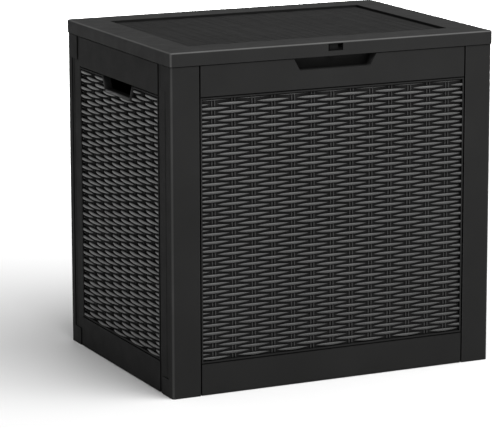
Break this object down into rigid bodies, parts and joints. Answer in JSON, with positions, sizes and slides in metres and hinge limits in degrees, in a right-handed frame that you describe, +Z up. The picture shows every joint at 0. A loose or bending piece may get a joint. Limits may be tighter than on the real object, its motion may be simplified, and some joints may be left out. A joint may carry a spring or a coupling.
{
  "type": "deck storage box",
  "caption": "Charcoal resin deck storage box with woven-look walls, corner posts, hand holes in the sides and a hinged lid with a finger scoop and padlock window.",
  "frame": {"origin": "on the ground, under the middle of the bounding box, hinge barrels included", "axes": "+Z up, +Y to the back where the hinges are, +X to the right when looking at the front; the front with the finger scoop faces -Y"},
  "size_m": [0.5512, 0.4294, 0.5309],
  "materials": {
    "wall_resin": "fine matte grain, woven relief",
    "post_resin": "fine matte grain",
    "lid_resin": "fine matte grain, woven relief",
    "base_resin": "matte, inside",
    "liner_resin": "matte, inside",
    "tab_resin": "matte",
    "hinge_resin": "smooth matte",
    "pin_steel": "turned, zinc plated",
    "screw_steel": "zinc plated"
  },
  "bodies": {
    "box": {"base_panel": "base_resin", "front_panel": "wall_resin", "back_panel": "wall_resin", "left_panel": "wall_resin", "right_panel": "wall_resin", "corner_post_front_left": "post_resin", "corner_post_front_right": "post_resin", "corner_post_rear_left": "post_resin", "corner_post_rear_right": "post_resin", "lock_tab": "tab_resin", "hinge_bracket_left": "hinge_resin", "hinge_bracket_right": "hinge_resin", "hinge_pin_left": "pin_steel", "hinge_pin_right": "pin_steel", "base_screws": "screw_steel", "hinge_bracket_screws": "screw_steel"},
    "lid": {"lid_shell": "lid_resin", "lid_liner": "liner_resin", "lid_hinge_left": "hinge_resin", "lid_hinge_right": "hinge_resin", "lid_hinge_screws": "screw_steel", "liner_screws": "screw_steel"}
  },
  "joints": [
    {"name": "lid_hinge", "type": "hinge", "parent": "box", "child": "lid", "pos_m": [0, 0.20665, 0.5091], "axis": [-1, 0, 0], "range_deg": [0, 100]}
  ]
}
